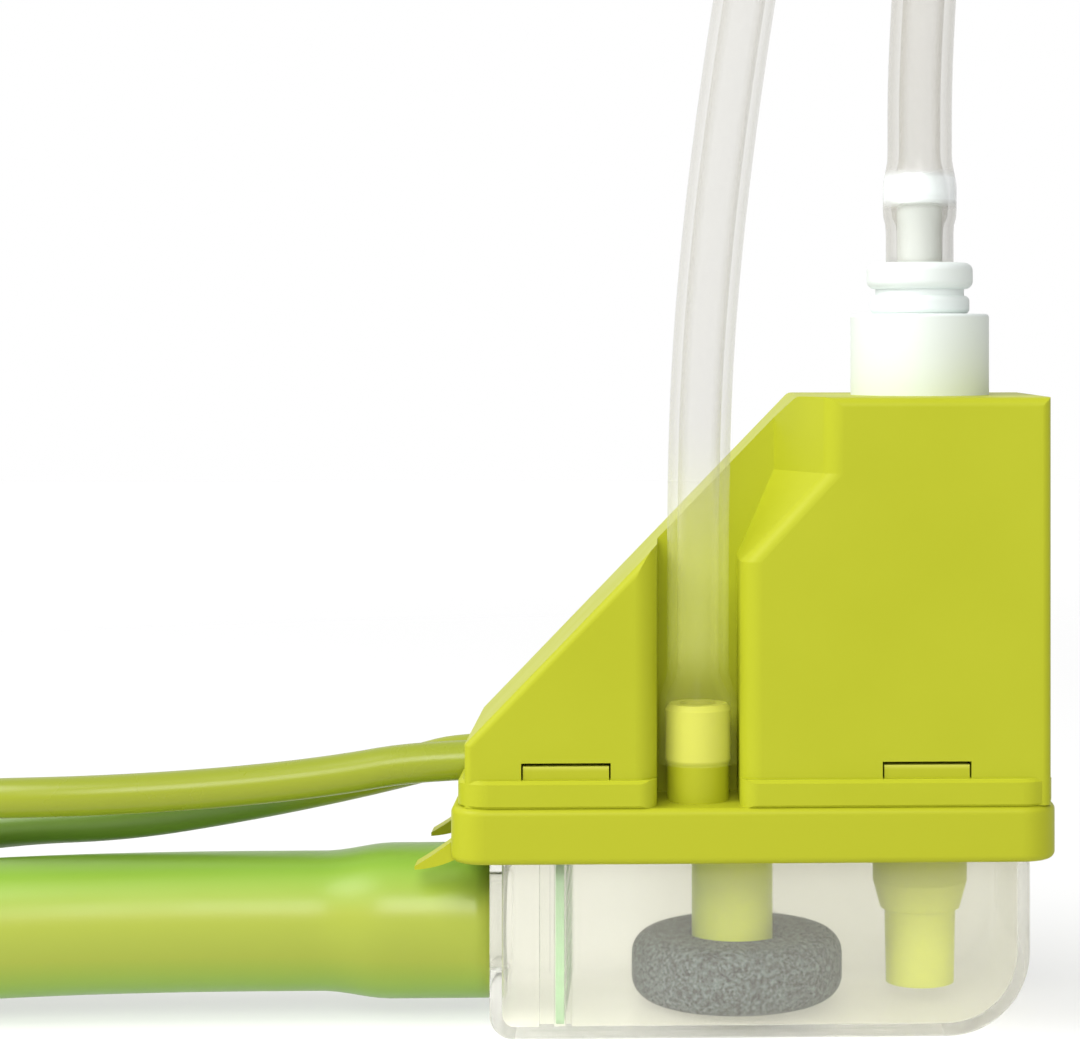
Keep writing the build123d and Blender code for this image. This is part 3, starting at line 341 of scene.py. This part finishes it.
def noise(tree, coordinates, size, detail=3.0, roughness=0.5):
    """A noise texture whose pattern has about the given size in metres."""
    texture = tree.nodes.new("ShaderNodeTexNoise")
    texture.inputs["Scale"].default_value = 1 / size
    texture.inputs["Detail"].default_value = detail
    texture.inputs["Roughness"].default_value = roughness
    link(tree, (coordinates, texture.inputs["Vector"]))
    return texture.outputs["Fac"]


def spread(tree, value, low, high, at_low=0.0, at_high=1.0):
    """A value that goes from one number to another as its source goes from a low limit to a high one."""
    node = tree.nodes.new("ShaderNodeMapRange")
    node.inputs["From Min"].default_value = low
    node.inputs["From Max"].default_value = high
    node.inputs["To Min"].default_value = at_low
    node.inputs["To Max"].default_value = at_high
    link(tree, (value, node.inputs["Value"]))
    return node.outputs["Result"]


def blend_colours(tree, share, first, second):
    """The colour between two others, each a socket or a plain colour."""
    node = tree.nodes.new("ShaderNodeMix")
    node.data_type = "RGBA"
    for socket, value in ((node.inputs[0], share), (node.inputs[6], first), (node.inputs[7], second)):
        feed(tree, socket, value)
    return node.outputs[2]


def moulded_skin_group():
    """The skin of a moulded plastic: faint cloudiness in its colour, a fine texture and uneven polish."""
    group, given, made = new_group(
        "moulded_skin",
        [
            ("Colour", linear(200, 200, 200)),
            ("Deep Colour", linear(180, 180, 180)),
            ("Polish", 0.3),
            ("Texture", 0.1),
        ],
        [("Colour", "NodeSocketColor"), ("Roughness", "NodeSocketFloat"), ("Normal", "NodeSocketVector")],
    )
    cloud_size = 30 * MM
    smear_size = 12 * MM
    smear_strength = 0.16
    grain_size = 0.7 * MM
    grain_depth = 0.06 * MM
    place = group.nodes.new("ShaderNodeTexCoord").outputs["Object"]
    clouds = spread(group, noise(group, place, cloud_size), 0.35, 0.65)
    colour = blend_colours(group, clouds, given.outputs["Colour"], given.outputs["Deep Colour"])
    smears = noise(group, place, smear_size, 4)
    roughness = worked_out(group, "MULTIPLY_ADD", smears, smear_strength, given.outputs["Polish"])
    grain = group.nodes.new("ShaderNodeBump")
    grain.inputs["Distance"].default_value = grain_depth
    link(
        group,
        (noise(group, place, grain_size, 2), grain.inputs["Height"]),
        (given.outputs["Texture"], grain.inputs["Strength"]),
        (colour, made.inputs["Colour"]),
        (roughness, made.inputs["Roughness"]),
        (grain.outputs["Normal"], made.inputs["Normal"]),
    )
    return group


def light_through_group():
    """Painted light through a translucent wall: one colour on its flanks, another facing up or down."""
    group, given, made = new_group(
        "light_through",
        [("Flank Colour", linear(200, 208, 92)), ("Crown Colour", linear(128, 176, 72))],
        [("Colour", "NodeSocketColor")],
    )
    normal = group.nodes.new("ShaderNodeTexCoord").outputs["Normal"]
    split = group.nodes.new("ShaderNodeSeparateXYZ")
    link(group, (normal, split.inputs[0]))
    crown_share = spread(group, worked_out(group, "ABSOLUTE", split.outputs["Z"]), 0.3, 0.85)
    colour = blend_colours(group, crown_share, given.outputs["Flank Colour"], given.outputs["Crown Colour"])
    link(group, (colour, made.inputs["Colour"]))
    return group


moulded_skin = moulded_skin_group()
light_through = light_through_group()


def new_material(name):
    """A material, its node tree and its main shader."""
    material = bpy.data.materials.new(name)
    material.use_nodes = True
    return material, material.node_tree, material.node_tree.nodes["Principled BSDF"]


def moulded(name, colour, deep, polish=0.3, texture=0.1, **values):
    """A material with the moulded skin and any plain values of the main shader."""
    material, tree, shader = new_material(name)
    skin = tree.nodes.new("ShaderNodeGroup")
    skin.name = "skin"
    skin.node_tree = moulded_skin
    skin.inputs["Colour"].default_value = linear(*colour)
    skin.inputs["Deep Colour"].default_value = linear(*deep)
    skin.inputs["Polish"].default_value = polish
    skin.inputs["Texture"].default_value = texture
    link(
        tree,
        (skin.outputs["Colour"], shader.inputs["Base Color"]),
        (skin.outputs["Roughness"], shader.inputs["Roughness"]),
        (skin.outputs["Normal"], shader.inputs["Normal"]),
    )
    for label, value in values.items():
        shader.inputs[label.replace("_", " ")].default_value = value
    return material


def let_light_by(material, opacity, shade):
    """Gives a clear material its opacity, a socket or a number, and a share of it that throws shade."""
    tree = material.node_tree
    rays = tree.nodes.new("ShaderNodeLightPath")
    kept = spread(tree, rays.outputs["Is Shadow Ray"], 0, 1, 1.0, shade)
    link(tree, (worked_out(tree, "MULTIPLY", kept, opacity), tree.nodes["Principled BSDF"].inputs["Alpha"]))


def clear(name, colour, deep, polish, clearness, refraction, shade=0.15):
    """Milky clear plastic that bends light."""
    material = moulded(name, colour, deep, polish, 0.04, Transmission_Weight=clearness, IOR=refraction)
    let_light_by(material, 1.0, shade)
    return material


def place_socket(tree, axis):
    """The output that gives a point's place along one axis, in a piece's own coordinates."""
    split = tree.nodes.new("ShaderNodeSeparateXYZ")
    link(tree, (tree.nodes.new("ShaderNodeTexCoord").outputs["Object"], split.inputs[0]))
    return split.outputs[axis]


def tint(material, share, low_colour, high_colour):
    """Blends a material's colour between two by a share."""
    tree = material.node_tree
    skin = tree.nodes["skin"]
    colour = blend_colours(tree, share, linear(*low_colour), linear(*high_colour))
    link(tree, (colour, skin.inputs["Colour"]), (colour, skin.inputs["Deep Colour"]))


def tint_along(material, axis, low_colour, high_colour, start, end):
    """Blends a material's colour from a low to a high one between two places on an axis, in millimetres."""
    share = spread(material.node_tree, place_socket(material.node_tree, axis), start * MM, end * MM)
    share.node.interpolation_type = "SMOOTHSTEP"
    tint(material, share, low_colour, high_colour)


def wall_opacity(tree, middle, edge):
    """How much one wall of a tube hides: less where it faces the eye and more at a slant."""
    slant = tree.nodes.new("ShaderNodeLayerWeight")
    slant.inputs["Blend"].default_value = 0.5
    return spread(tree, slant.outputs["Facing"], 0.12, 0.5, middle, edge)


def vent_vinyl_material():
    """Milky vinyl with painted lime light, bounced from the channel, on its lower part, and stretched thin
    over the spigot.
    """
    milky = (200, 197, 186)
    spigot_top = 52
    material = moulded("vent_vinyl", milky, milky, 0.1, 0.04, Specular_IOR_Level=0.35)
    tree = material.node_tree
    # Painted light: lime bounced light from the channel, on the vinyl below 56 mm, fading out by 90 mm
    tint_along(material, "Z", (246, 250, 146), milky, 56, 90)
    height = place_socket(tree, "Z")
    thickness = spread(tree, height, (spigot_top - 2) * MM, (spigot_top + 4) * MM, 0.3)
    let_light_by(material, worked_out(tree, "MULTIPLY", wall_opacity(tree, 0.14, 0.32), thickness), 0.1)
    return material


def discharge_vinyl_material():
    """Milky vinyl with a white bulge where it is stretched over the barb."""
    milky = (192, 188, 176)
    bulge_middle = 121.9 * MM
    bulge_start = 1.6 * MM
    bulge_end = 3.0 * MM
    material = moulded("discharge_vinyl", milky, milky, 0.1, 0.04, Specular_IOR_Level=0.35)
    tree = material.node_tree
    above = worked_out(tree, "SUBTRACT", place_socket(tree, "Z"), bulge_middle)
    away = worked_out(tree, "ABSOLUTE", above)
    tint(material, spread(tree, away, bulge_start, bulge_end), (250, 253, 253), milky)
    whiteness = spread(tree, away, bulge_start, bulge_end, 2.0)
    let_light_by(material, worked_out(tree, "MULTIPLY", wall_opacity(tree, 0.19, 0.4), whiteness), 0.1)
    return material


def translucent(name, flank, crown, polish):
    """Lime hose or cable plastic, with painted light through its wall: greener where it faces up or down.
    """
    material = moulded(name, flank, flank, polish, 0.12, Specular_IOR_Level=0.4)
    tree = material.node_tree
    through = tree.nodes.new("ShaderNodeGroup")
    through.name = "light through"
    through.node_tree = light_through
    through.inputs["Flank Colour"].default_value = linear(*flank)
    through.inputs["Crown Colour"].default_value = linear(*crown)
    link(
        tree,
        (through.outputs["Colour"], tree.nodes["skin"].inputs["Colour"]),
        (through.outputs["Colour"], tree.nodes["skin"].inputs["Deep Colour"]),
    )
    return material


def shade_painted_away_from_exit(material, colour, exit_colour, start, end):
    """Blends a cable's painted-shade colour, where it hangs in the other cable's shadow, to its lit colour
    at its exit, along X in millimetres.
    """
    tree = material.node_tree
    through = tree.nodes["light through"]
    share = spread(tree, place_socket(tree, "X"), start * MM, end * MM)
    blended = blend_colours(tree, share, linear(*colour), linear(*exit_colour))
    link(tree, (blended, through.inputs["Flank Colour"]), (blended, through.inputs["Crown Colour"]))


def float_foam():
    """Dark speckled foam with open pores, the float's own material."""
    speck_size = 0.6 * MM
    pore_size = 0.8 * MM
    pore_depth = 0.4 * MM
    material, tree, shader = new_material("float_foam")
    place = tree.nodes.new("ShaderNodeTexCoord").outputs["Object"]
    specks = spread(tree, noise(tree, place, speck_size, 3, 0.7), 0.4, 0.68)
    colour = blend_colours(tree, specks, linear(8, 14, 18), linear(114, 126, 132))
    pores = tree.nodes.new("ShaderNodeBump")
    pores.inputs["Strength"].default_value = 0.6
    pores.inputs["Distance"].default_value = pore_depth
    link(
        tree,
        (colour, shader.inputs["Base Color"]),
        (noise(tree, place, pore_size, 3, 0.7), pores.inputs["Height"]),
        (pores.outputs["Normal"], shader.inputs["Normal"]),
    )
    shader.inputs["Roughness"].default_value = 0.85
    return material


def metal(name, colour, deep, roughness):
    """Metal with a drawn, slightly uneven finish."""
    return moulded(name, colour, deep, roughness, 0.15, Metallic=1.0)


def core_colours(name, first, middle, last, end_place, across):
    """The colours of three cores side by side, chosen by their place across the cable's end."""
    half_row = 2 * MM
    middle_start = 0.36
    middle_end = 0.64
    material, tree, shader = new_material(name)
    place = tree.nodes.new("ShaderNodeTexCoord").outputs["Object"]
    offset = tree.nodes.new("ShaderNodeVectorMath")
    offset.operation = "SUBTRACT"
    offset.inputs[1].default_value = Vector((*end_place, 0)) * MM
    side = tree.nodes.new("ShaderNodeVectorMath")
    side.operation = "DOT_PRODUCT"
    side.inputs[1].default_value = (*across, 0)
    ramp = tree.nodes.new("ShaderNodeValToRGB")
    ramp.color_ramp.interpolation = "CONSTANT"
    ramp.color_ramp.elements[0].color = linear(*first)
    ramp.color_ramp.elements[1].position = middle_start
    ramp.color_ramp.elements[1].color = linear(*middle)
    ramp.color_ramp.elements.new(middle_end).color = linear(*last)
    link(
        tree,
        (place, offset.inputs[0]),
        (offset.outputs["Vector"], side.inputs[0]),
        (spread(tree, side.outputs["Value"], -half_row, half_row), ramp.inputs["Fac"]),
        (ramp.outputs["Color"], shader.inputs["Base Color"]),
    )
    shader.inputs["Roughness"].default_value = 0.4
    return material


cover_lime = moulded("cover_lime", (188, 193, 44), (184, 189, 40), 0.36, 0.12, Specular_IOR_Level=0.16)
lid_lime = moulded("lid_lime", (187, 191, 43), (183, 187, 39), 0.36, 0.12, Specular_IOR_Level=0.16)
# Painted light: the lid is paler from 38.5 to 39.6 mm up, lighting the latch noses in the cover's windows
# and the top of the spigot base
tint_along(lid_lime, "Z", (187, 191, 43), (222, 222, 96), 38.5, 39.6)
stem_lime = moulded("stem_lime", (226, 236, 78), (220, 230, 72), 0.3, 0.1, Specular_IOR_Level=0.3)
intake_lime = moulded("intake_lime", (212, 219, 88), (206, 213, 82), 0.4, 0.1, Specular_IOR_Level=0.2)
# Painted light: the hose and cables change colour where they face up or down, through the light_through
# group
hose_lime = translucent("hose_lime", (174, 186, 68), (146, 188, 68), 0.24)
bright_cable = (160, 170, 38)
shaded_cable = (118, 150, 58)
cable_lime = translucent("cable_lime", bright_cable, (152, 164, 38), 0.2)
# Painted shade: the signal cable is darker green where it hangs in the power cable's shadow, and has the
# power cable's lit lime near its exit
signal_lime_painted_shade = translucent("signal_lime_painted_shade", shaded_cable, (106, 142, 54), 0.3)
shade_painted_away_from_exit(signal_lime_painted_shade, shaded_cable, bright_cable, -72, -56)
rubber_lime = moulded("rubber_lime", (190, 198, 60), (180, 190, 54), 0.5, 0.2)
tank_clear = (250, 249, 241)
reservoir_clear = clear(
    "reservoir_clear",
    tank_clear,
    tank_clear,
    polish=0.08,
    clearness=0.9,
    refraction=1.06,
)
# Painted shade: the reservoir's clear plastic is greyer from X -22 mm towards X -4 mm and beyond
tint_along(reservoir_clear, "X", tank_clear, (241, 240, 231), -22, -4)
filter_plate = clear(
    "filter_plate",
    (196, 232, 190),
    (186, 226, 180),
    polish=0.15,
    clearness=0.45,
    refraction=1.3,
)
vent_vinyl = vent_vinyl_material()
discharge_vinyl = discharge_vinyl_material()
outlet_white = moulded("outlet_white", (243, 249, 246), (239, 246, 242), 0.4, 0.1, Specular_IOR_Level=0.3)
clip_white = moulded("clip_white", (232, 232, 228), (226, 226, 222), 0.35, 0.1)
rubber_dark = moulded("rubber_dark", (44, 44, 46), (38, 38, 40), 0.6, 0.3)
steel = metal("steel", (190, 190, 192), (176, 176, 180), 0.25)
spring_steel = metal("spring_steel", (176, 176, 180), (160, 160, 166), 0.2)
yoke_zinc = metal("yoke_zinc", (200, 202, 196), (184, 188, 182), 0.35)
brass_seat = metal("brass_seat", (206, 178, 96), (190, 160, 84), 0.25)
magnet_grey = moulded("magnet_grey", (62, 62, 66), (54, 54, 58), 0.5, 0.2)
bobbin_nylon = moulded("bobbin_nylon", (226, 222, 208), (218, 214, 198), 0.4, 0.1)
winding_copper = metal("winding_copper", (184, 108, 62), (160, 88, 48), 0.3)
circuit_board = moulded("circuit_board", (40, 104, 62), (34, 92, 54), 0.4, 0.1)
chip_black = moulded("chip_black", (34, 34, 36), (28, 28, 30), 0.45, 0.15)
terminal_grey = moulded("terminal_grey", (150, 154, 158), (140, 144, 148), 0.4, 0.1)
capacitor_grey = moulded("capacitor_grey", (176, 172, 160), (166, 162, 150), 0.4, 0.1)
varistor_blue = moulded("varistor_blue", (48, 84, 160), (40, 74, 146), 0.35, 0.1)
power_core_colours = core_colours(
    "power_core_colours",
    first=(52, 92, 168),
    middle=(96, 150, 60),
    last=(120, 78, 48),
    end_place=(-206.1, 92.9),
    across=(-0.856, 0.517),
)
signal_core_colours = core_colours(
    "signal_core_colours",
    first=(40, 40, 42),
    middle=(170, 44, 40),
    last=(206, 206, 202),
    end_place=(-167.4, 104.0),
    across=(-0.407, 0.913),
)
ferrule_tin = metal("ferrule_tin", (204, 204, 200), (190, 190, 188), 0.3)
foam = float_foam()

finishes = {
    "cover": cover_lime,
    "lid": lid_lime,
    "release_tab": lid_lime,
    "sensor_stem": stem_lime,
    "intake": intake_lime,
    "intake_strainer": intake_lime,
    "hose_cuff": hose_lime,
    "drain_hose": hose_lime,
    "cable_grommet": rubber_lime,
    "power_cable": cable_lime,
    "power_coil": cable_lime,
    "signal_cable": signal_lime_painted_shade,
    "signal_coil": signal_lime_painted_shade,
    "reservoir": reservoir_clear,
    "inlet_filter": filter_plate,
    "vent_tube": vent_vinyl,
    "discharge_tube": discharge_vinyl,
    "float_ring": foam,
    "float_clip": clip_white,
    "outlet_collar": outlet_white,
    "outlet_ring": outlet_white,
    "outlet_valve_body": outlet_white,
    "lid_gasket": rubber_dark,
    "outlet_o_ring": rubber_dark,
    "inlet_coupler": rubber_dark,
    "piston_seal": rubber_dark,
    "lower_mount": rubber_dark,
    "upper_mount": rubber_dark,
    "inlet_valve": rubber_dark,
    "outlet_valve": rubber_dark,
    "piston": steel,
    "pump_tube": steel,
    "pole_sleeves": steel,
    "clamp_screws": steel,
    "inlet_valve_spring": spring_steel,
    "outlet_valve_spring": spring_steel,
    "lower_spring": spring_steel,
    "upper_spring": spring_steel,
    "steel_yoke": yoke_zinc,
    "inlet_seat": brass_seat,
    "outlet_seat": brass_seat,
    "inlet_retainer": brass_seat,
    "float_magnet": magnet_grey,
    "coil_bobbin": bobbin_nylon,
    "cable_clamp": bobbin_nylon,
    "coil_winding": winding_copper,
    "sensor_board": circuit_board,
    "control_board": circuit_board,
    "hall_sensors": chip_black,
    "triac": chip_black,
    "thermal_cutout": chip_black,
    "terminal_block": terminal_grey,
    "film_capacitor": capacitor_grey,
    "varistor": varistor_blue,
    "power_cores": power_core_colours,
    "signal_cores": signal_core_colours,
    "power_ferrules": ferrule_tin,
    "signal_ferrules": ferrule_tin,
}
for label, finish in finishes.items():
    nodes[label].data.materials.clear()
    nodes[label].data.materials.append(finish)

# What stands for the plain cords of the solids
dressed = (
    (power_sheath, "head", cable_lime, "cable_lime", ("power_cable", "power_coil")),
    (signal_sheath, "head", signal_lime_painted_shade, "cable_lime", ("signal_cable", "signal_coil")),
    (vent_pipe, "head", vent_vinyl, "vinyl_clear", ("vent_tube",)),
    (discharge_pipe, "head", discharge_vinyl, "vinyl_clear", ("discharge_tube",)),
    (drain_line, "reservoir", hose_lime, "hose_lime", ("drain_hose", "hose_cuff")),
)
for piece, body, finish, finish_slot, stands_for in dressed:
    piece.data.materials.append(finish)
    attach(piece, body)
    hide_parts(*stands_for)

# Floor: white with a soft shadow, and half seen through, so that a reservoir drawn down past it still shows
floor_size = 3.0
floor_mesh = bpy.data.meshes.new("floor")
half = floor_size / 2
corners = [(-half, -half, 0), (half, -half, 0), (half, half, 0), (-half, half, 0)]
floor_mesh.from_pydata(corners, [], [(0, 1, 2, 3)])
floor = bpy.data.objects.new("floor", floor_mesh)
scene.collection.objects.link(floor)


def seen_share(tree):
    """1 on rays from the camera, mirrors and glass, and 0 on the rays that carry light."""
    rays = tree.nodes.new("ShaderNodeLightPath")
    either = worked_out(tree, "MAXIMUM", rays.outputs["Is Camera Ray"], rays.outputs["Is Glossy Ray"])
    return worked_out(tree, "MAXIMUM", either, rays.outputs["Is Transmission Ray"])


floor_white, floor_tree, floor_shader = new_material("floor_white")
floor_shader.inputs["Roughness"].default_value = 0.9
floor_shader.inputs["Specular IOR Level"].default_value = 0.1
white = (1, 1, 1, 1)
black = (0, 0, 0, 1)
lamplit_grey = (0.8, 0.8, 0.8, 1)
shadow_reach = 0.15
all_white_from = 0.75
near_lift = 0.24
seen_opacity = 0.5
floor_shader.inputs["Emission Color"].default_value = white
distance = floor_tree.nodes.new("ShaderNodeVectorMath")
distance.operation = "LENGTH"
link(floor_tree, (floor_tree.nodes.new("ShaderNodeTexCoord").outputs["Object"], distance.inputs[0]))
far_share = spread(floor_tree, distance.outputs["Value"], shadow_reach, all_white_from)
seen = seen_share(floor_tree)
seen_colour = blend_colours(floor_tree, far_share, white, black)
floor_colour = blend_colours(floor_tree, seen, lamplit_grey, seen_colour)
lift = worked_out(floor_tree, "MULTIPLY", seen, spread(floor_tree, far_share, 0, 1, near_lift))
opacity = spread(floor_tree, seen, 0, 1, 1.0, seen_opacity)
shadow_ray = floor_tree.nodes.new("ShaderNodeLightPath").outputs["Is Shadow Ray"]
lamps_kept_out = worked_out(floor_tree, "SUBTRACT", 1, shadow_ray)
link(
    floor_tree,
    (floor_colour, floor_shader.inputs["Base Color"]),
    (lift, floor_shader.inputs["Emission Strength"]),
    (worked_out(floor_tree, "MULTIPLY", opacity, lamps_kept_out), floor_shader.inputs["Alpha"]),
)
floor_mesh.materials.append(floor_white)

# Light: an even pale surround, a large lamp above on the left, and a smaller one in front
world = bpy.data.worlds.new("studio")
scene.world = world
world.use_nodes = True
sky = world.node_tree.nodes["Background"]
sky.inputs["Color"].default_value = white
surround = 0.28
brightness = spread(world.node_tree, seen_share(world.node_tree), 0, 1, surround)
link(world.node_tree, (brightness, sky.inputs["Strength"]))


def soft_lamp(name, place, target, size, power):
    """A large square lamp that faces a point."""
    lamp = bpy.data.lights.new(name, "AREA")
    lamp.shape = "SQUARE"
    lamp.size = size
    lamp.energy = power
    holder = bpy.data.objects.new(name, lamp)
    holder.location = place
    holder.rotation_euler = (Vector(target) - Vector(place)).to_track_quat("-Z", "Y").to_euler()
    scene.collection.objects.link(holder)


soft_lamp("lamp_above_left", (-0.8, -0.35, 0.9), (0, 0, 0.05), 0.8, 11.5)
soft_lamp("lamp_front", (-0.1, -1.05, 0.72), (0, 0, 0.05), 0.5, 6.4)
